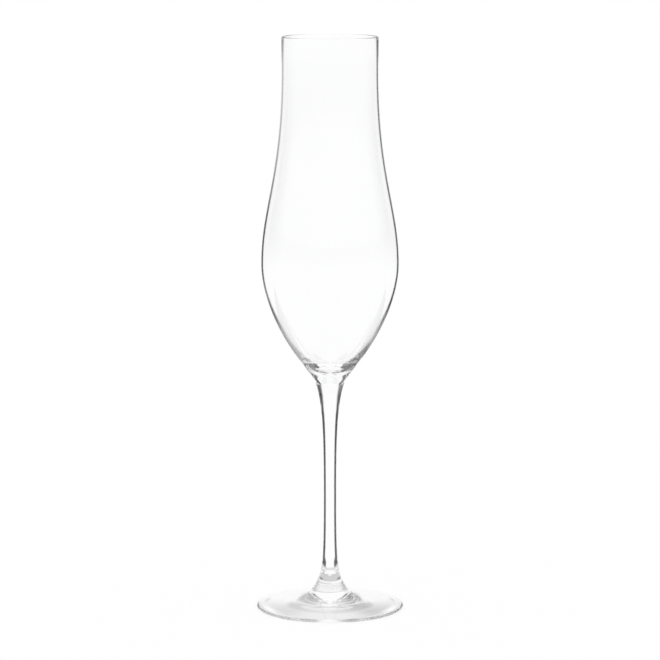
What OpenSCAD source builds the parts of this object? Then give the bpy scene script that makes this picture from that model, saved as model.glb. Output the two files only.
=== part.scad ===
// Champagne glass of tulip form: a blown bowl, a drawn stem and a spun foot, fused at two welds.
// Millimetres, +Z up. The origin is the centre of the foot, on the table.
// Every piece is a revolve: its outline is made of Bezier curves between named stations.

/* [Heights] */
// Height of the foot, from the table to its weld with the stem
foot_h = 16; // [13:0.5:24]
// Length of the stem between its two welds
stem_l = 88; // [60:1:120]
// Height of the bowl, from its weld with the stem to the rim
bowl_h = 156; // [120:1:200]

/* [Bowl outside] */
// Outside diameter of the rim
rim_d = 43.5; // [42:0.5:52]
// Outside diameter of the neck, the narrowest place below the rim
neck_d = 43.3; // [36:0.1:54]
// Depth of the neck below the rim
neck_drop = 14; // [8:0.5:30]
// Outside diameter of the belly, the widest place
belly_d = 61.9; // [50:0.1:65.5]
// Height of the belly above the weld
belly_h = 54; // [50:0.5:66]
// Outside diameter where the round of the belly turns into the flare of the base
shoulder_d = 27.45; // [26:0.05:31]
// Height of that shoulder above the weld
shoulder_h = 10; // [7:0.1:11]
// Angle of the outside wall at the shoulder, measured from the axis
shoulder_angle = 39.4; // [35:0.1:46]
// Angle of the outside wall at the weld, measured from the axis
bowl_flare_angle = 39.5; // [25:0.1:45]
// Fullness of the curve above the belly: how far it runs upright before it turns in
belly_fullness_up = 0.29; // [0.15:0.01:0.5]
// Fullness of the curve below the belly
belly_fullness_down = 0.364; // [0.326:0.002:0.46]
// Fullness of the curve at the neck: how far it runs upright before it swells out
neck_fullness = 0.55; // [0.3:0.01:0.65]
// Fullness of the curve at the shoulder
shoulder_fullness = 0.274; // [0.2:0.002:0.4]

/* [Bowl inside] */
// Thickness of the fire-polished rim, which is fully round
rim_wall = 0.9; // [0.7:0.05:1.4]
// Wall at the neck
neck_wall = 0.8; // [0.65:0.05:1.3]
// Wall at the belly
belly_wall = 0.8; // [0.65:0.05:1.3]
// Solid glass between the weld and the inside of the bowl
base_t = 5; // [3.5:0.1:9]
// Fullness of the inside curve below the belly
inside_fullness = 0.461; // [0.4:0.001:0.5]
// Radius over which the inside bottom runs level before it turns up
inside_bottom_r = 11.6; // [7:0.1:13]

/* [Stem] */
// Diameter at the waist, the thinnest place
waist_d = 5.65; // [4:0.05:8]
// Height of the waist above the foot's weld
waist_h = 36; // [20:0.5:45]
// Angle of the stem's side at the bowl, measured from the axis
stem_top_angle = 18; // [8:1:30]
// Angle of the stem's side at the foot, measured from the axis
stem_bottom_angle = 12; // [8:1:30]

/* [Foot] */
// Diameter of the foot
foot_d = 66.8; // [54:0.1:82]
// Thickness of the foot's edge, which is fully round
foot_edge_t = 1.6; // [1:0.05:2.4]
// Diameter where the conical boss has run out into the disc
boss_d = 30; // [24:0.5:44]
// Height of the disc's upper side at that diameter
boss_run_out_h = 4.5; // [3.4:0.1:6]
// Angle of the boss's side at the stem's weld, measured from the axis
boss_angle = 22; // [12:1:30]
// Depth of the shallow hollow under the foot, at its centre
hollow_depth = 3.4; // [0.4:0.1:3.8]
// Width of the flat ring that the glass rests on
resting_ring_w = 1.6; // [0.8:0.1:4]

/* [Welds] */
// Diameter of the stem and the bowl at the lips of their weld
bowl_weld_d = 13.2; // [11:0.1:16]
// Height of the fine groove at that weld
bowl_groove_w = 0.9; // [0.3:0.05:1.6]
// Depth of that groove
bowl_groove_depth = 0.35; // [0.1:0.05:0.8]
// Diameter of the stem and the foot at the lips of their weld
foot_weld_d = 8.8; // [7:0.05:11]
// Height of the fine groove at that weld
foot_groove_w = 0.2; // [0.1:0.05:1]
// Depth of that groove
foot_groove_depth = 0.06; // [0.03:0.01:0.5]

/* [Smoothness] */
// Straight steps along each long curve
curve_steps = 28; // [12:1:48]
// Straight steps along the round of the rim and of the foot's edge
edge_steps = 12; // [6:1:24]
// Sides of a full turn
turn_sides = 160; // [48:8:240]

/* [Hidden] */
$fn = turn_sides;

// Heights above the table
foot_weld_z = foot_h;
bowl_weld_z = foot_weld_z + stem_l;
rim_z = bowl_weld_z + bowl_h;
shoulder_z = bowl_weld_z + shoulder_h;
belly_z = bowl_weld_z + belly_h;
neck_z = rim_z - neck_drop;
inside_bottom_z = bowl_weld_z + base_t;
waist_z = foot_weld_z + waist_h;

// Stations of the outline, as [radius, height]
neck = [neck_d / 2, neck_z];
belly = [belly_d / 2, belly_z];
shoulder = [shoulder_d / 2, shoulder_z];
waist = [waist_d / 2, waist_z];
neck_inside = neck - [neck_wall, 0];
belly_inside = belly - [belly_wall, 0];
bottom_inside = [0, inside_bottom_z];

// Centres of the two fully round edges
rim_round = [rim_d / 2 - rim_wall / 2, rim_z - rim_wall / 2];
edge_round = [foot_d / 2 - foot_edge_t / 2, foot_edge_t / 2];

// The foot's upper side falls in a straight line from the boss to the edge
boss_run_out = [boss_d / 2, boss_run_out_h];
disc_fall = atan((boss_run_out_h - foot_edge_t) / (edge_round[0] - boss_run_out[0]));
resting_ring_r = edge_round[0] - resting_ring_w;

// Lips of the weld grooves, one on each side of each weld
bowl_lip = [bowl_weld_d / 2, bowl_weld_z + bowl_groove_w / 2];
stem_top_lip = [bowl_weld_d / 2, bowl_weld_z - bowl_groove_w / 2];
stem_bottom_lip = [foot_weld_d / 2, foot_weld_z + foot_groove_w / 2];
foot_lip = [foot_weld_d / 2, foot_weld_z - foot_groove_w / 2];
bowl_weld_r = bowl_weld_d / 2 - bowl_groove_depth;
foot_weld_r = foot_weld_d / 2 - foot_groove_depth;

// Reach of a curve's handles at the welds and the boss, as a share of the curve's own length
bowl_lip_reach = 0.3;
stem_top_reach = 0.196;
stem_waist_reach_up = 0.6;
stem_waist_reach_down = 0.6;
stem_bottom_reach = 0.173;
boss_top_reach = 0.743;
boss_run_out_reach = 0.517;

// A direction in the outline's plane, at an angle from straight up, positive outwards
function heading(angle) = [sin(angle), cos(angle)];

// A point of a cubic Bezier curve at t, and the curve as a list of points
function bezier_at(a, b, c, d, t) =
    pow(1 - t, 3) * a + 3 * pow(1 - t, 2) * t * b + 3 * (1 - t) * t * t * c + t * t * t * d;
function bezier(a, b, c, d, steps = curve_steps) =
    [for (i = [0 : steps]) bezier_at(a, b, c, d, i / steps)];

// A curve that leaves one point and reaches another along given headings
function sweep_between(from, from_angle, from_reach, to, to_angle, to_reach) =
    let (span = abs(to[1] - from[1]))
    bezier(
        from,
        from + from_reach * span * heading(from_angle),
        to - to_reach * span * heading(to_angle),
        to
    );

// An arc about a centre, in the outline's plane
function arc(centre, radius, from_angle, to_angle) =
    [for (i = [0 : edge_steps])
        let (a = from_angle + (to_angle - from_angle) * i / edge_steps)
        centre + radius * [cos(a), sin(a)]];

// Outside of the bowl, from the weld's lip up to the round of the rim
function bowl_outside() = concat(
    sweep_between(
        bowl_lip, bowl_flare_angle, bowl_lip_reach,
        shoulder, shoulder_angle, bowl_lip_reach
    ),
    sweep_between(shoulder, shoulder_angle, shoulder_fullness, belly, 0, belly_fullness_down),
    sweep_between(belly, 0, belly_fullness_up, neck, 0, neck_fullness)
);

// Inside of the bowl, from the neck down to the middle of its bottom
function bowl_inside() = concat(
    sweep_between(neck_inside, 180, neck_fullness, belly_inside, 180, belly_fullness_up),
    bezier(
        belly_inside,
        belly_inside - [0, inside_fullness * (belly_z - inside_bottom_z)],
        bottom_inside + [inside_bottom_r, 0],
        bottom_inside
    )
);

// The blown bowl: a thin wall that thickens to a solid base, with a fully round rim
module bowl() {
    color([0.93, 0.95, 0.96], 0.4)
    rotate_extrude()
    polygon(concat(
        [[0, bowl_weld_z], [bowl_weld_r, bowl_weld_z]],
        bowl_outside(),
        arc(rim_round, rim_wall / 2, 0, 180),
        bowl_inside()
    ));
}

// The drawn stem: a solid rod, thinnest at the waist, flaring to both welds
module stem() {
    color([0.9, 0.93, 0.94], 0.4)
    rotate_extrude()
    polygon(concat(
        [[0, foot_weld_z], [foot_weld_r, foot_weld_z]],
        sweep_between(
            stem_bottom_lip, -stem_bottom_angle, stem_bottom_reach,
            waist, 0, stem_waist_reach_down
        ),
        sweep_between(
            waist, 0, stem_waist_reach_up,
            stem_top_lip, stem_top_angle, stem_top_reach
        ),
        [[bowl_weld_r, bowl_weld_z], [0, bowl_weld_z]]
    ));
}

// Upper side of the foot, from the round of its edge up the boss to the weld's lip
function foot_upper_side() =
    let (
        fall_heading = [cos(disc_fall), -sin(disc_fall)],
        boss_width = boss_run_out[0] - foot_lip[0],
        boss_height = foot_lip[1] - boss_run_out[1]
    )
    bezier(
        boss_run_out,
        boss_run_out - boss_run_out_reach * boss_width * fall_heading,
        foot_lip + boss_top_reach * boss_height * -heading(-boss_angle),
        foot_lip
    );

// Hollow under the foot: a shallow paraboloid inside the resting ring
function foot_hollow() =
    [for (i = [0 : curve_steps])
        let (share = i / curve_steps)
        [resting_ring_r * share, hollow_depth * (1 - share * share)]];

// The spun foot: a thin disc with a conical boss, a round edge and a hollow underside
module foot() {
    color([0.92, 0.94, 0.95], 0.4)
    rotate_extrude()
    polygon(concat(
        foot_hollow(),
        arc(edge_round, foot_edge_t / 2, -90, 0),
        arc(edge_round, foot_edge_t / 2, 0, 90 - disc_fall),
        foot_upper_side(),
        [[foot_weld_r, foot_weld_z], [0, foot_weld_z]]
    ));
}

bowl();
stem();
foot();
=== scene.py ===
# %% [markdown]
# # A champagne glass
# The object is a tulip-shaped champagne glass of clear, colourless glass: a thin blown bowl, a
# slender drawn stem and a wide spun foot, fused into one body. This lesson draws its outline, turns
# it into one closed skin, gives it a glass material, and sets up the small studio that glass needs.
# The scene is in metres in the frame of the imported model, with +Z up and the origin under the foot's
# centre. The outline is drawn in millimetres.

# %% Open the frame
import math

import bpy
import numpy as np
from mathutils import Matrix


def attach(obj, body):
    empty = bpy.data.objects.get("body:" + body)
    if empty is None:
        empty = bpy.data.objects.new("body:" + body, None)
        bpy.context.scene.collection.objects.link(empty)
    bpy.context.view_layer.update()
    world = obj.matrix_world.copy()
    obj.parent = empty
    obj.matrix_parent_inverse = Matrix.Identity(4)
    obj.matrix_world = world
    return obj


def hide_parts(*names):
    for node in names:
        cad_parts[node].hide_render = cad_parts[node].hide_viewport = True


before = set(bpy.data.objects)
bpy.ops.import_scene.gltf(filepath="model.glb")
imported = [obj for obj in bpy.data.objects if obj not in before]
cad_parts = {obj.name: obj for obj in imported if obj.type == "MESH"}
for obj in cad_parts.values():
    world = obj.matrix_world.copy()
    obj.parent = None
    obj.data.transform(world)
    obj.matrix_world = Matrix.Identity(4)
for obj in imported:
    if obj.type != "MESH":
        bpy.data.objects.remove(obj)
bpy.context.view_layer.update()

scene = bpy.context.scene
MM = 0.001

# %% [markdown]
# ## The camera
# The photograph looks slightly down on the glass from about one and a half metres, with a long lens:
# the ellipses of the rim and the foot give its height and distance. A camera is an object whose -Z
# axis looks forward, so a quarter turn about X makes it level, and a little less makes it look down.

# %% Camera
CAMERA_AWAY = 1.430
CAMERA_HEIGHT = 0.335
LOOK_DOWN = math.radians(8.248)
SENSOR_MM = 36.0
LENS_MM = 174.44

lens = bpy.data.cameras.new("camera")
lens.sensor_width = SENSOR_MM
lens.lens = LENS_MM
camera = bpy.data.objects.new("camera", lens)
camera.location = (0.0, -CAMERA_AWAY, CAMERA_HEIGHT)
camera.rotation_euler = (math.pi / 2 - LOOK_DOWN, 0.0, 0.0)
scene.collection.objects.link(camera)
scene.camera = camera
print("camera", tuple(round(v, 3) for v in camera.location), "lens %.1f mm" % lens.lens)

# %% [markdown]
# ## Curves of the outline
# Hot glass flows into long, easy curves, so the outline is made of cubic Bezier spans that share
# their heading where they meet. A point of the outline is (distance from the axis, height), in
# millimetres. A subdivision cage could give similar curves, but here every station has its size.
# Angles are in degrees from straight up. A reach says how far a curve keeps its heading, as a share
# of its span, and its steps say how finely it is cut.

# %% Outline helpers
def heading(angle):
    """A unit step in the outline's plane at an angle in degrees from straight up, positive outwards."""
    a = math.radians(angle)
    return np.array([math.sin(a), math.cos(a)])


def bezier(a, b, c, d, steps):
    """A cubic Bezier curve: the four points weighted (1-t)^3, 3t(1-t)^2, 3t^2(1-t) and t^3."""
    t = np.linspace(0.0, 1.0, steps + 1)[:, None]
    a, b, c, d = (np.asarray(p, float) for p in (a, b, c, d))
    return (1 - t) ** 3 * a + 3 * (1 - t) ** 2 * t * b + 3 * (1 - t) * t * t * c + t ** 3 * d


def sweep(start, start_angle, start_reach, end, end_angle, end_reach, steps):
    """A Bezier curve that leaves start and meets end along given angles.

    Each inner point lies along the angle at its end, at the reach times the height between the ends.
    """
    start, end = np.asarray(start, float), np.asarray(end, float)
    span = abs(end[1] - start[1])
    return bezier(
        start, start + start_reach * span * heading(start_angle),
        end - end_reach * span * heading(end_angle), end, steps,
    )


def round_edge(centre, radius, start_angle, end_angle, steps):
    """Points on a circle about a centre: centre plus radius times (cosine, sine) of the angle."""
    a = np.radians(np.linspace(start_angle, end_angle, steps + 1))
    return np.asarray(centre) + radius * np.stack([np.cos(a), np.sin(a)], axis=1)


print("four outline helpers ready")

# %% [markdown]
# ## The foot
# The foot is spun out from a blob of glass while it is hot. Its underside is a shallow hollow, so the
# glass stands on a narrow flat ring and doesn't rock. The edge is fire-polished and fully round, and
# the upper side rises in a straight slope and then in a boss with hollow sides to the stem. The hollow
# is a paraboloid: its height falls with the square of the distance from the middle. A bevelled disc
# would be quicker, but the light in the foot follows the true thickness.

# %% Outline of the foot
FOOT_R, EDGE_THICK = 33.4, 1.6
RING_W, HOLLOW_DEPTH = 1.6, 3.4
BOSS_RUN_OUT = np.array([15.0, 4.5])
FOOT_WELD_Z, FOOT_WELD_R = 16.0, 4.4
FOOT_GROOVE_W, FOOT_GROOVE = 0.2, 0.06
BOSS_ANGLE = 22.0
SLOPE_REACH, BOSS_REACH = 0.517, 0.743

share = np.linspace(0.0, 1.0, 33)
ring_r = FOOT_R - EDGE_THICK / 2 - RING_W
hollow = np.stack([ring_r * share, HOLLOW_DEPTH * (1.0 - share ** 2)], axis=1)

edge_centre = np.array([FOOT_R - EDGE_THICK / 2, EDGE_THICK / 2])
fall = math.atan((BOSS_RUN_OUT[1] - EDGE_THICK) / (edge_centre[0] - BOSS_RUN_OUT[0]))
foot_edge = np.vstack([
    round_edge(edge_centre, EDGE_THICK / 2, -90.0, 0.0, 12),
    round_edge(edge_centre, EDGE_THICK / 2, 0.0, 90.0 - math.degrees(fall), 12),
])
slope = foot_edge[-1] + (BOSS_RUN_OUT - foot_edge[-1]) * np.linspace(0.0, 1.0, 9)[:, None]

foot_lip = np.array([FOOT_WELD_R, FOOT_WELD_Z - FOOT_GROOVE_W / 2])
boss_width, boss_height = BOSS_RUN_OUT[0] - foot_lip[0], foot_lip[1] - BOSS_RUN_OUT[1]
up_slope = np.array([-math.cos(fall), math.sin(fall)])
boss = bezier(
    BOSS_RUN_OUT, BOSS_RUN_OUT + SLOPE_REACH * boss_width * up_slope,
    foot_lip - BOSS_REACH * boss_height * heading(-BOSS_ANGLE), foot_lip, 40,
)
foot_outline = np.vstack([hollow, foot_edge, slope, boss])
foot_d = 2 * foot_outline[:, 0].max()
print("foot: %d points, %.1f mm across, %.1f mm high" % (len(foot_outline), foot_d, FOOT_WELD_Z))

# %% [markdown]
# ## The stem
# The stem is drawn from the bowl's hot base. It is thinnest at the waist, somewhat below its middle,
# and flares gently to both welds. Where two pieces were fused, a very fine groove is left round the
# glass. Two tapered cylinders would show a kink at the waist, but two sweeps that are both upright
# there make one smooth line.

# %% Outline of the stem
WAIST, WAIST_REACH = np.array([2.825, 52.0]), 0.6
BOWL_WELD_Z, BOWL_WELD_R = 104.0, 6.6
BOWL_GROOVE_W, BOWL_GROOVE = 0.9, 0.35
STEM_BOTTOM_ANGLE, STEM_BOTTOM_REACH = 12.0, 0.173
STEM_TOP_ANGLE, STEM_TOP_REACH = 18.0, 0.196

stem_bottom = np.array([FOOT_WELD_R, FOOT_WELD_Z + FOOT_GROOVE_W / 2])
stem_top = np.array([BOWL_WELD_R, BOWL_WELD_Z - BOWL_GROOVE_W / 2])
stem_outline = np.vstack([
    [[FOOT_WELD_R - FOOT_GROOVE, FOOT_WELD_Z]],
    sweep(stem_bottom, -STEM_BOTTOM_ANGLE, STEM_BOTTOM_REACH, WAIST, 0.0, WAIST_REACH, 36),
    sweep(WAIST, 0.0, WAIST_REACH, stem_top, STEM_TOP_ANGLE, STEM_TOP_REACH, 44),
    [[BOWL_WELD_R - BOWL_GROOVE, BOWL_WELD_Z]],
])
stem_length = BOWL_WELD_Z - FOOT_WELD_Z
print("stem: %d points, %.1f mm long, waist %.1f mm" % (len(stem_outline), stem_length, 2 * WAIST[0]))

# %% [markdown]
# ## The bowl
# The bowl is blown: its wall is under a millimetre thick at the belly and the neck, and thickens to a
# solid base over the stem. The rim is melted round. A Solidify modifier would give one even wall, but
# here the thickness changes, and that is what bends the light low in the bowl. So the inside is its
# own curve: it runs level into the bottom and upright into the belly.

# %% Outline of the bowl
RIM_Z, RIM_R, RIM_WALL = 260.0, 21.75, 0.9
NECK, NECK_WALL, NECK_REACH = np.array([21.65, 246.0]), 0.8, 0.55
BELLY, BELLY_WALL = np.array([30.95, 158.0]), 0.8
BELLY_REACH_DOWN, BELLY_REACH_UP = 0.364, 0.29
SHOULDER, SHOULDER_ANGLE, SHOULDER_REACH = np.array([13.725, 114.0]), 39.4, 0.274
FLARE_ANGLE, FLARE_REACH = 39.5, 0.3
BASE_THICK = 5.0
INSIDE_LEVEL, INSIDE_UPRIGHT = 11.6, 0.461

bowl_lip = np.array([BOWL_WELD_R, BOWL_WELD_Z + BOWL_GROOVE_W / 2])
outside = np.vstack([
    sweep(bowl_lip, FLARE_ANGLE, FLARE_REACH, SHOULDER, SHOULDER_ANGLE, FLARE_REACH, 20),
    sweep(SHOULDER, SHOULDER_ANGLE, SHOULDER_REACH, BELLY, 0.0, BELLY_REACH_DOWN, 52),
    sweep(BELLY, 0.0, BELLY_REACH_UP, NECK, 0.0, NECK_REACH, 52),
])
rim = round_edge((RIM_R - RIM_WALL / 2, RIM_Z - RIM_WALL / 2), RIM_WALL / 2, 0.0, 180.0, 24)
neck_inside, belly_inside = NECK - [NECK_WALL, 0.0], BELLY - [BELLY_WALL, 0.0]
bottom = np.array([0.0, BOWL_WELD_Z + BASE_THICK])
inside = np.vstack([
    sweep(neck_inside, 180.0, NECK_REACH, belly_inside, 180.0, BELLY_REACH_UP, 52),
    bezier(
        belly_inside, belly_inside - [0.0, INSIDE_UPRIGHT * (belly_inside[1] - bottom[1])],
        bottom + [INSIDE_LEVEL, 0.0], bottom, 84,
    ),
])
bowl_outline = np.vstack([outside, rim, inside])
print("bowl: %d points, belly %.1f mm, rim %.1f mm" % (len(bowl_outline), 2 * BELLY[0], 2 * RIM_R))

# %% [markdown]
# ## One skin
# The three pieces are fused, so light passes the welds without meeting a surface. Three closed solids
# would put a pair of faces inside each weld, and the renderer would bend light there. So the outline
# runs from the middle of the hollow, over the edge, up the outside, over the rim and down the inside,
# and is turned once: a single closed skin with the glass between its two sides. A Screw modifier could
# turn it too. Arrays give the same rings, and each end on the axis is one point from the start.

# %% Turn the outline
SIDES = 192
SHARP_ANGLE = math.radians(30.0)
SAME_POINT = 1e-6


def turned_skin(name, outline, sides):
    """A surface of revolution: at angle a an outline point (r, z) goes to (r cos a, r sin a, z).

    The outline's two ends lie on the axis, so each is one point with a fan of triangles round it.
    """
    turn = np.arange(sides) * 2.0 * math.pi / sides
    r, z = outline[1:-1, :1] * MM, outline[1:-1, 1:] * MM
    points = np.stack([r * np.cos(turn), r * np.sin(turn), z + 0.0 * turn], axis=-1).reshape(-1, 3)
    ends = np.array([[0.0, 0.0, outline[0, 1]], [0.0, 0.0, outline[-1, 1]]]) * MM
    here, beside = np.arange(sides), (np.arange(sides) + 1) % sides
    row = np.arange(len(r) - 1)[:, None] * sides
    quads = np.stack([row + here, row + beside, row + sides + beside, row + sides + here], axis=-1)
    first_end, last_row = len(points), (len(r) - 1) * sides
    low_fan = np.stack([0 * here + first_end, beside, here], axis=1)
    high_fan = np.stack([0 * here + first_end + 1, last_row + here, last_row + beside], axis=1)
    mesh = bpy.data.meshes.new(name)
    mesh.from_pydata(
        np.vstack([points, ends]).tolist(), [],
        quads.reshape(-1, 4).tolist() + low_fan.tolist() + high_fan.tolist(),
    )
    mesh.shade_smooth()
    mesh.set_sharp_from_angle(angle=SHARP_ANGLE)
    mesh.update()
    piece = bpy.data.objects.new(name, mesh)
    scene.collection.objects.link(piece)
    return piece


outline = np.vstack([foot_outline, stem_outline, bowl_outline])
apart = np.r_[True, np.hypot(*np.diff(outline, axis=0).T) > SAME_POINT]
outline = outline[apart]
glass = turned_skin("glass", outline, SIDES)
triangles = sum(len(p.vertices) - 2 for p in glass.data.polygons)
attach(glass, "root")
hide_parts("bowl", "stem", "foot")
print("glass: %d rings, %d triangles" % (len(outline) - 2, triangles))

# %% [markdown]
# ## Cords and clouds
# Glass made hot is never quite even: it has faint cords, drawn along the piece, where the thickness
# wavers by a few thousandths of a millimetre. Modelled in the mesh they would need far more points, so
# they are a stretched noise on Object coordinates that drives a very low bump. A second noise, in soft
# clouds, varies the polish and the clearness a little.

# %% Cords and clouds
CORD_SCALE, CORD_STRETCH, CORD_HEIGHT = 70.0, 0.25, 0.004 * MM
CLOUD_SCALE = 35.0
DULLEST_POLISH = 0.002
LEAST_CLEAR = (0.985, 0.99, 0.988, 1.0)
WHITE = (1.0, 1.0, 1.0, 1.0)


def add_node(tree, kind, **values):
    """A shader node with its properties set by name."""
    node = tree.nodes.new(kind)
    for key, value in values.items():
        setattr(node, key, value)
    return node


clear_glass = bpy.data.materials.new("clear_glass")
clear_glass.use_nodes = True
tree = clear_glass.node_tree
tree.nodes.clear()
link = tree.links.new

place = add_node(tree, "ShaderNodeTexCoord")
drawn = add_node(tree, "ShaderNodeMapping")
drawn.inputs["Scale"].default_value = (1.0, 1.0, CORD_STRETCH)
link(place.outputs["Object"], drawn.inputs["Vector"])
cords = add_node(tree, "ShaderNodeTexNoise")
cords.inputs["Scale"].default_value = CORD_SCALE
cords.inputs["Detail"].default_value = 2.0
link(drawn.outputs["Vector"], cords.inputs["Vector"])
waver = add_node(tree, "ShaderNodeBump")
waver.inputs["Strength"].default_value = 1.0
waver.inputs["Distance"].default_value = CORD_HEIGHT
link(cords.outputs["Fac"], waver.inputs["Height"])

clouds = add_node(tree, "ShaderNodeTexNoise")
clouds.inputs["Scale"].default_value = CLOUD_SCALE
clouds.inputs["Detail"].default_value = 3.0
link(place.outputs["Object"], clouds.inputs["Vector"])
polish = add_node(tree, "ShaderNodeMapRange")
polish.inputs["To Min"].default_value = 0.0
polish.inputs["To Max"].default_value = DULLEST_POLISH
link(clouds.outputs["Fac"], polish.inputs["Value"])
clearness = add_node(tree, "ShaderNodeMix", data_type="RGBA")
clearness.inputs["A"].default_value = LEAST_CLEAR
clearness.inputs["B"].default_value = WHITE
link(clouds.outputs["Fac"], clearness.inputs["Factor"])
print("cords and clouds: %d nodes" % len(tree.nodes))

# %% [markdown]
# ## Clear glass
# The glass is colourless and fire-polished, so it is a Principled shader that lets all light in and
# bends it by the index of common glass. A Glass shader would bend it alike, but the Principled one is
# what other programs read. Shadow rays pass almost freely, as light does through thin clear glass:
# without that, the shadow on the table would be as dark as that of a solid body.

# %% Clear glass material
GLASS_INDEX = 1.52
SHADOW_CLEAR = (0.93, 0.93, 0.93, 1.0)

body = add_node(tree, "ShaderNodeBsdfPrincipled")
body.inputs["Transmission Weight"].default_value = 1.0
body.inputs["IOR"].default_value = GLASS_INDEX
link(clearness.outputs["Result"], body.inputs["Base Color"])
link(polish.outputs["Result"], body.inputs["Roughness"])
link(waver.outputs["Normal"], body.inputs["Normal"])
rays = add_node(tree, "ShaderNodeLightPath")
let_through = add_node(tree, "ShaderNodeBsdfTransparent")
let_through.inputs["Color"].default_value = SHADOW_CLEAR
either = add_node(tree, "ShaderNodeMixShader")
surface = add_node(tree, "ShaderNodeOutputMaterial")
link(rays.outputs["Is Shadow Ray"], either.inputs["Fac"])
link(body.outputs["BSDF"], either.inputs[1])
link(let_through.outputs["BSDF"], either.inputs[2])
link(either.outputs["Shader"], surface.inputs["Surface"])
glass.data.materials.append(clear_glass)
print("clear glass: %d nodes" % len(tree.nodes))

# %% [markdown]
# ## The table
# The table is a plain white sheet that runs on behind the glass into the white background. A curved
# backdrop would do the same, but a flat sheet that is wide enough needs no bend. It lies a hair below
# the resting ring, so that the two faces never coincide.

# %% Table
TABLE_R, TABLE_HOLE, TABLE_DROP = 9.0, 0.0001, 0.00003


def stage_sheet(name, points):
    """A grid of points, rows by columns by (x, y, z), joined by a four-sided face in each cell."""
    rows, columns = points.shape[:2]
    cell = np.arange(rows - 1)[:, None] * columns + np.arange(columns - 1)[None, :]
    faces = np.stack([cell, cell + 1, cell + columns + 1, cell + columns], axis=-1)
    mesh = bpy.data.meshes.new(name)
    mesh.from_pydata(points.reshape(-1, 3).tolist(), [], faces.reshape(-1, 4).tolist())
    mesh.update()
    sheet = bpy.data.objects.new(name, mesh)
    scene.collection.objects.link(sheet)
    return sheet


def rings(radii, turns, heights):
    """Points on rings about the axis: at a turn a from straight behind, (r sin a, r cos a, height)."""
    r, h, a = np.asarray(radii)[:, None], np.asarray(heights)[:, None], np.radians(turns)[None, :]
    return np.stack([r * np.sin(a), r * np.cos(a), h + 0.0 * a], axis=-1)


table_turns = np.linspace(-180.0, 180.0, 97)
table = stage_sheet("table", rings([TABLE_HOLE, TABLE_R], table_turns, [-TABLE_DROP, -TABLE_DROP]))
print("table %.0f m across" % (2 * TABLE_R))

# %% [markdown]
# ## White paper
# The table is covered with white paper. Lit by lamps alone it would fall off to grey in the distance.
# So wherever it is seen, directly or in the glass, it glows almost white by itself, and a small diffuse
# share catches the glass's faint shadow.

# %% Paper material
TABLE_GLOW = 0.85
TABLE_GREY = (0.15, 0.15, 0.15, 1.0)

white_table = bpy.data.materials.new("white_table")
white_table.use_nodes = True
tree = white_table.node_tree
tree.nodes.clear()
link = tree.links.new
rays = add_node(tree, "ShaderNodeLightPath")
seen = add_node(tree, "ShaderNodeMath", operation="MAXIMUM")
seen_clear = add_node(tree, "ShaderNodeMath", operation="MAXIMUM")
glow = add_node(tree, "ShaderNodeMath", operation="MULTIPLY")
glow.inputs[1].default_value = TABLE_GLOW
light = add_node(tree, "ShaderNodeEmission")
paper = add_node(tree, "ShaderNodeBsdfDiffuse")
paper.inputs["Color"].default_value = TABLE_GREY
both = add_node(tree, "ShaderNodeAddShader")
surface = add_node(tree, "ShaderNodeOutputMaterial")
link(rays.outputs["Is Camera Ray"], seen.inputs[0])
link(rays.outputs["Is Glossy Ray"], seen.inputs[1])
link(seen.outputs[0], seen_clear.inputs[0])
link(rays.outputs["Is Transmission Ray"], seen_clear.inputs[1])
link(seen_clear.outputs[0], glow.inputs[0])
link(glow.outputs[0], light.inputs["Strength"])
link(light.outputs["Emission"], both.inputs[0])
link(paper.outputs["BSDF"], both.inputs[1])
link(both.outputs["Shader"], surface.inputs["Surface"])
table.data.materials.append(white_table)
print("paper: %d nodes, glow %.2f" % (len(tree.nodes), TABLE_GLOW))

# %% [markdown]
# ## Five kinds of light
# Clear glass on white is invisible, except where it bends or mirrors something darker. A photographer
# leaves a white opening behind it, stands dark boards beside it, and trims each reflection with small
# cards. Here the boards, the room and the mat glow by themselves, and the cards are replaced by five
# brightnesses at each point. The material picks one by what the light did at the glass, as the Light
# Path node counts it:
# - bent: it passed in and out, and was not mirrored;
# - shine: it was mirrored on the outside and never went in;
# - mirrored: it went in, and was mirrored once or twice on its way;
# - trapped: it was mirrored three times or more, as inside a thin wall;
# - crossed: it passed three faces or more, as through both walls of the bowl.

# %% Board material
KINDS = ("bent", "shine", "mirrored", "trapped", "crossed")
AT_LEAST_ONCE, MORE_THAN_TWICE = 0.5, 2.5

# This material makes the boards, the room and the mat glow, at one brightness for each kind of light.
board_glow = bpy.data.materials.new("board_glow")
board_glow.use_nodes = True
tree = board_glow.node_tree
tree.nodes.clear()
link = tree.links.new


def threshold(value, over):
    """A node that gives 1 where a value is over a limit, and 0 elsewhere."""
    node = add_node(tree, "ShaderNodeMath", operation="GREATER_THAN")
    node.inputs[1].default_value = over
    link(value, node.inputs[0])
    return node.outputs[0]


def choose(condition, if_not, if_so):
    """A node that gives one brightness where a condition is 0 and another where it is 1."""
    node = add_node(tree, "ShaderNodeMix", data_type="FLOAT")
    link(condition, node.inputs["Factor"])
    link(if_not, node.inputs["A"])
    link(if_so, node.inputs["B"])
    return node.outputs["Result"]


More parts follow.
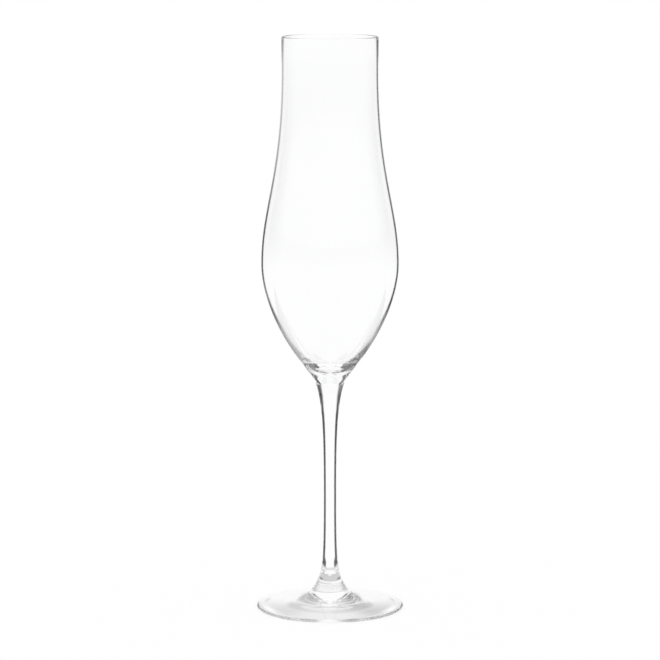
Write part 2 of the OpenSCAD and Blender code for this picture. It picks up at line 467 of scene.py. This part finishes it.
rays = add_node(tree, "ShaderNodeLightPath")
faces_passed, times_mirrored = rays.outputs["Transmission Depth"], rays.outputs["Glossy Depth"]
bent, shine, mirrored, trapped, crossed = (
    add_node(tree, "ShaderNodeAttribute", attribute_name=kind).outputs["Fac"] for kind in KINDS
)
level = choose(threshold(faces_passed, AT_LEAST_ONCE), shine, mirrored)
level = choose(threshold(times_mirrored, MORE_THAN_TWICE), level, trapped)
level = choose(threshold(times_mirrored, AT_LEAST_ONCE), bent, level)
level = choose(threshold(faces_passed, MORE_THAN_TWICE), level, crossed)
light = add_node(tree, "ShaderNodeEmission")
surface = add_node(tree, "ShaderNodeOutputMaterial")
link(level, light.inputs["Strength"])
link(light.outputs["Emission"], surface.inputs["Surface"])
print("board material: %d nodes for %d kinds of light" % (len(tree.nodes), len(KINDS)))

# %% [markdown]
# ## Smooth ramps
# Soft light has no hard borders, so the tones round the glass fade into each other. A ColorRamp node
# can draw a fade along one direction, but these tones change with two, such as turn and height. So
# they are worked out at the points of each sheet, by a few ramps that are multiplied together. A tone
# of 0 is black, and 1 is the white of the background.

# %% Ramps
def ease(value, start, end):
    """A smooth step: 0 before start, 1 after end, and 3s^2 - 2s^3 of the share s between."""
    s = np.clip((value - start) / (end - start), 0.0, 1.0)
    return s * s * (3.0 - 2.0 * s)


def band(value, start, full, fading, end):
    """A smooth step up from start to full, times a smooth step down from fading to end."""
    return ease(value, start, full) * (1.0 - ease(value, fading, end))


def hump(value, middle, width):
    """A bell curve: e to the power of minus the square of (distance from the middle over the width)."""
    return np.exp(-((value - middle) / width) ** 2)


def mix(first, second, share):
    """First where the share is 0 and second where it is 1: first + (second - first) times the share."""
    return first + (second - first) * share


print("halfway up a ramp the tone is %.2f" % ease(0.5, 0.0, 1.0))

# %% [markdown]
# ## Sheets that glow
# The boards, the room and the mat are all sheets with brightnesses at their points. The camera doesn't
# see them: they act only in the glass. They turn about the vertical axis with the camera, as when the
# glass is turned on its table and the studio stays as it is. Area lamps could stand in for them, but
# a plain lamp has one brightness all over.

# %% Board helpers
BOARD_COLUMNS, BOARD_ROWS = 9, 33


def board(name, points, **levels):
    """A stage sheet with a brightness of each kind at its points.

    It is hidden from the camera and turns about the vertical axis with it.
    """
    sheet = stage_sheet(name, points)
    for kind, level in levels.items():
        values = np.broadcast_to(level, points.shape[:2]).astype(np.float32).ravel()
        sheet.data.attributes.new(kind, "FLOAT", "POINT").data.foreach_set("value", values)
    sheet.data.materials.append(board_glow)
    sheet.visible_camera = False
    sheet.visible_diffuse = False
    sheet.visible_shadow = False
    facing = sheet.constraints.new("COPY_ROTATION")
    facing.target = camera
    facing.use_x = False
    facing.use_y = False


def upright(start, end, top):
    """Points of a flat upright board: from (x, y) to (x, y) over the table, z from 0 to its top."""
    share, z = np.meshgrid(np.linspace(0.0, 1.0, BOARD_COLUMNS), np.linspace(0.0, top, BOARD_ROWS))
    start, end = np.asarray(start), np.asarray(end)
    return np.concatenate([start + (end - start) * share[..., None], z[..., None]], axis=-1)


print("board helpers ready, %d points to a board" % (BOARD_COLUMNS * BOARD_ROWS))

# %% [markdown]
# ## Boards beside the glass
# Two tall, narrow boards stand close behind the glass. The wall of the bowl mirrors the light at its
# very edge by a few degrees only, so a board has to begin just beside the bowl to be seen there. Two
# low, wide ones carry on outwards for the stem, which bends light much further. One wide board on each
# side would be simpler, but the low ones leave the sides of the bowl open. Mirrored and trapped light
# finds the tall boards dark only beside the foot and the bowl, so that the stem stays clear.

# %% Edge boards and stem boards
BOARD_BEHIND, BOARD_TOP, STEM_BOARD_TOP = 0.056, 0.256, 0.095
INNER_X, MIDDLE_X, OUTER_X = 0.035, 0.060, 0.180
BLACK, STEM_TRAPPED = 0.03, 0.2
# Ramps over the height in millimetres, each from its start to its end.
FOOT_ENDS, WAIST_PASSED, BOWL_STARTS = (12.0, 20.0), (45.0, 60.0), (92.0, 104.0)

# The tone of the left and the right board is given at a few heights, and fades evenly between them.
heights = np.linspace(0.0, BOARD_TOP, BOARD_ROWS)[:, None] / MM
left_tone = np.interp(heights, [100, 130, 145, 170, 190, 220], [BLACK, 0.30, 0.12, 0.10, 0.25, 0.50])
right_tone = np.interp(heights, [100, 150, 200], [BLACK, 0.12, 0.22])
outward = np.linspace(0.0, 1.0, BOARD_COLUMNS)[None, :]
inner_half = 1.0 - ease(outward, 0.3, 0.6)
by_foot = 1.0 - ease(heights, *FOOT_ENDS)
by_bowl = ease(heights, *BOWL_STARTS)
below_waist = 1.0 - ease(heights, *WAIST_PASSED)
stem_board_by_foot = 1.0 - ease(heights * STEM_BOARD_TOP / BOARD_TOP, *FOOT_ENDS)

for side, name, tone in ((-1.0, "left", left_tone), (1.0, "right", right_tone)):
    inner, middle, outer = ((side * x, BOARD_BEHIND) for x in (INNER_X, MIDDLE_X, OUTER_X))
    inside_light = 1.0 - (1.0 - tone) * (by_foot * (1.0 - inner_half) + by_bowl)
    board(
        "edge_board_" + name, upright(inner, middle, BOARD_TOP),
        bent=tone, shine=mix(tone, 1.0, inner_half * below_waist),
        mirrored=inside_light, trapped=inside_light, crossed=1.0,
    )
    board(
        "stem_board_" + name, upright(middle, outer, STEM_BOARD_TOP),
        bent=BLACK, shine=BLACK, mirrored=mix(1.0, BLACK, stem_board_by_foot),
        trapped=STEM_TRAPPED, crossed=1.0,
    )
print("boards %.0f mm behind the axis, %.0f mm apart" % (BOARD_BEHIND / MM, 2 * INNER_X / MM))

# %% [markdown]
# ## The dark room
# Further out the studio itself is dim: the left wall is the darkest, the right one gets some light, and
# a soft ceiling closes it above. Straight behind the glass the room is open and white. The thick lower
# bowl bends light far enough to show these walls as grey patches. The room is part of a sphere about
# the glass: a box of flat walls would show its corners. A place in it is a turn from straight behind
# and a rise above the table, both in degrees.

# %% Walls of the room
ROOM_R, ROOM_RISE = 2.5, 75.0
LEFT_DARKEST, RIGHT_DARKEST, NEAREST_TONE = 0.08, 0.30, 0.10
# Ramps over the turn and over the rise in degrees, each from its start to its end.
OPENING_ENDS, SIDES_START = (24.0, 36.0), (58.0, 80.0)
LEFT_FRONT, RIGHT_FRONT = (130.0, 168.0), (100.0, 130.0)
FLOOR_ENDS, CEILING_STARTS = (-2.0, 9.0), (42.0, 58.0)
UPPER_WALL, HIGH_WALL = (8.0, 16.0), (22.0, 30.0)

turns = np.linspace(-180.0, 180.0, 145)
rises = np.linspace(0.0, ROOM_RISE, 61)
away, up, on_left = np.abs(turns)[None, :], rises[:, None], turns[None, :] < 0.0


def by_side(left, right):
    """One value on the left of the glass, as the camera sees it, and another on the right."""
    return np.where(on_left, left, right)


# Each wall is darkest low down, and gets paler higher up and towards the front.
left_wall = LEFT_DARKEST + 0.16 * ease(up, *UPPER_WALL) + 0.08 * ease(up, *HIGH_WALL)
left_wall = left_wall + 0.32 * ease(away, *LEFT_FRONT)
right_wall = RIGHT_DARKEST + 0.22 * ease(up, *UPPER_WALL) + 0.25 * ease(away, *RIGHT_FRONT)
wall = mix(NEAREST_TONE, by_side(left_wall, right_wall), ease(away, *SIDES_START))
dark = (1.0 - wall) * ease(away, *OPENING_ENDS) * band(up, *FLOOR_ENDS, *CEILING_STARTS)
print("walls: tone %.2f to %.2f" % (wall.min(), wall.max()))

# %% [markdown]
# ## The room in each kind of light
# Bent light finds the walls as they are. Mirrored light finds them paler in front of the glass, and not
# at all low down beside the opening, or grey squares and bands would show in the belly. The shine on
# the bowl finds a dimmer horizon all round, except straight behind. Trapped light can come from almost
# any direction, so it has walls of its own, and the fine edge lines take their depth from them. Crossed
# light finds only a faintly shaded ceiling. One brightness for all of them would be simpler, but no
# single room gives both the dark edges and the clear belly.

# %% Room
SHINE_TONE, CEILING_SHADE = 0.97, 0.10
TRAPPED_LEFT, TRAPPED_RIGHT, TRAPPED_NEAREST = 0.10, 0.20, 0.20
ABOVE_LEFT, ABOVE_RIGHT = 0.25, 0.70
TRAPPED_OPENING_ENDS = (12.0, 30.0)

in_front = ease(away, 70.0, 95.0)
found = np.maximum(ease(away, 40.0, 55.0), ease(up, 10.0, 18.0))
paler = (0.35 + 0.50 * ease(up, 6.0, 10.0)) * in_front
horizon = (0.32 - 0.18 * in_front) * ease(away, 25.0, 40.0)

left_trapped = TRAPPED_LEFT + 0.15 * ease(away, 100.0, 125.0) + 0.30 * ease(away, 135.0, 160.0)
right_trapped = TRAPPED_RIGHT + 0.35 * ease(away, 95.0, 125.0)
wall_trapped = mix(TRAPPED_NEAREST, by_side(left_trapped, right_trapped), ease(away, 60.0, 75.0))
above = by_side(ABOVE_LEFT, ABOVE_RIGHT) * ease(up, 13.0, 20.0) * (1.0 - ease(away, 112.0, 128.0))

dome = rings(ROOM_R * np.cos(np.radians(rises)), turns, ROOM_R * np.sin(np.radians(rises)))
board(
    "room", dome, bent=1.0 - dark,
    shine=SHINE_TONE - horizon * (1.0 - ease(up, 4.0, 9.0)),
    mirrored=1.0 - dark * found * (1.0 - paler),
    trapped=1.0 - (1.0 - wall_trapped) * ease(away, *TRAPPED_OPENING_ENDS) * (1.0 - above),
    crossed=1.0 - CEILING_SHADE * ease(up, 45.0, 55.0),
)
print("room: %.1f m to the walls, darkest %.2f" % (ROOM_R, 1.0 - dark.max()))

# %% [markdown]
# ## The shade under the foot
# A glass shades the table under its own foot: it is grey under the boss and darker in two wings beside
# it, the right one more than the left, and the edge lets the light in again. Light traced from lamps
# through the glass could draw such a pattern, but that takes very many samples. So the pattern is
# worked out on a mat that only the glass sees. Radii are in millimetres from the axis, and turns in
# degrees from straight behind.

# %% Shade under the foot
MAT_HOLE, FOOT_REACH = 0.0002, 0.034
BOSS_TONE, SLOPE_TONE = 0.62, 0.84
LEFT_WING, RIGHT_WING = 0.40, 0.55
LEFT_CORNER, RIGHT_CORNER = 0.12, 0.22
LEFT_BOSS_R, RIGHT_BOSS_R, BOSS_FADE = 12.0, 9.5, 2.5

# Fine rings under the foot, and wider and wider ones from there to the walls of the room.
mat_r = np.r_[np.linspace(MAT_HOLE, FOOT_REACH, 69), np.geomspace(FOOT_REACH + 0.5 * MM, ROOM_R, 60)]
r = mat_r[:, None] / MM
# Under the boss: paler outwards and in front, with a dark notch behind it on either side.
under_boss = BOSS_TONE + 0.36 * ease(r, 6.0, 9.5) * (1.0 - 0.5 * ease(away, 30.0, 90.0))
under_boss = under_boss - 0.50 * hump(away, 41.0, 15.0) * band(r, 5.5, 7.0, 8.0, 9.5)
under_boss = under_boss + 0.28 * ease(away, 95.0, 125.0) * (1.0 - ease(r, 6.0, 9.0))
# Under the slope: a wing on either side, narrower and fainter far out, and a corner in front of it.
far_out = ease(r, 17.5, 21.0)
wings = by_side(LEFT_WING, RIGHT_WING) * hump(away, 80.0 + 25.0 * far_out, 80.0 - 47.0 * far_out)
wings = wings * (1.0 - 0.60 * far_out)
corners = by_side(LEFT_CORNER, RIGHT_CORNER) * hump(away, 132.0, 18.0) * ease(r, 19.0, 22.0)
under_slope = SLOPE_TONE + 0.10 * (1.0 - ease(away, 60.0, 110.0)) - wings - corners
# The slope takes over where the boss ends, and the edge lets the light in.
boss_r = by_side(LEFT_BOSS_R, RIGHT_BOSS_R)
shade = mix(under_boss, under_slope, ease(r, boss_r, boss_r + BOSS_FADE))
by_edge = np.maximum(ease(r, 31.0, 33.5), ease(r, 26.5, 29.5) * hump(away, 112.0, 16.0))
shade = mix(shade, 1.0, by_edge)
print("shade under the foot: tone %.2f to %.2f" % (shade.min(), shade.max()))

# %% [markdown]
# ## The mat
# Round the foot, the mat also has a painted contact shadow, the dark line where the edge meets the
# table, and two dark strips to the left and the right, which carry the stem's dark edges on below the
# boards.
# In mirrored light the strips stay close to the foot, and in trapped light the mat is gloomy from the
# foot's edge outwards, except behind it, where the far edge has to stay white. It lies between the
# table and the glass.

# %% Mat
MAT_DROP = 0.00002
STRIP_DARK, GLOOM_DARK, TRAPPED_TONE = 0.95, 0.85, 0.95

# The painted contact shadow at the foot's edge is faint behind and strong at the sides and in front.
contact_shadow = band(r, 33.5, 35.0, 41.0, 46.0) * (0.30 + 0.60 * ease(away, 40.0, 80.0))
# The strips lie at the sides, and close to the foot they reach further round behind it.
close = 1.0 - ease(r, 55.0, 75.0)
strips = band(away, 29.0 - 12.0 * close, 36.0 - 12.0 * close, 95.0, 118.0) * ease(r, 36.0, 46.0)
strips_mirrored = strips * close * (1.0 - ease(away, 55.0, 70.0))
# Trapped light finds the mat almost white in the middle, shaded under the slope, and gloomy from near
# the edge outwards, except behind.
far_edge = (1.0 - ease(away, 58.0, 70.0)) * (1.0 - ease(r, 40.0, 46.0))
gloom = GLOOM_DARK * ease(away, *TRAPPED_OPENING_ENDS) * ease(r, 26.0, 31.0) * (1.0 - far_edge)
board(
    "mat", rings(mat_r, turns, 0.0 * mat_r - MAT_DROP),
    bent=shade * (1.0 - STRIP_DARK * np.maximum(strips, contact_shadow)),
    shine=SHINE_TONE - horizon * ease(r, 700.0, 2500.0),
    mirrored=shade * (1.0 - STRIP_DARK * strips_mirrored),
    trapped=mix(TRAPPED_TONE, shade, ease(r, 12.0, 16.0)) * (1.0 - gloom),
    crossed=1.0,
)
print("mat: %d rings, strips from %.0f mm out" % (len(mat_r), r[strips.max(axis=1) > 0.0].min()))

# %% [markdown]
# ## Light
# A white world gives even, soft studio light from all sides. Light that enters the thin wall can
# bounce along inside it a long way before it leaves, so the paths are allowed many bounces: with few,
# the wall would turn grey.

# %% World and light paths
MAX_BOUNCES = 200

world = bpy.data.worlds.new("studio")
world.use_nodes = True
background = world.node_tree.nodes["Background"]
background.inputs["Color"].default_value = WHITE
background.inputs["Strength"].default_value = 1.0
scene.world = world
scene.cycles.max_bounces = MAX_BOUNCES
scene.cycles.transmission_bounces = MAX_BOUNCES
scene.cycles.glossy_bounces = MAX_BOUNCES
scene.view_settings.view_transform = "Standard"
print("white world, up to %d bounces" % scene.cycles.max_bounces)
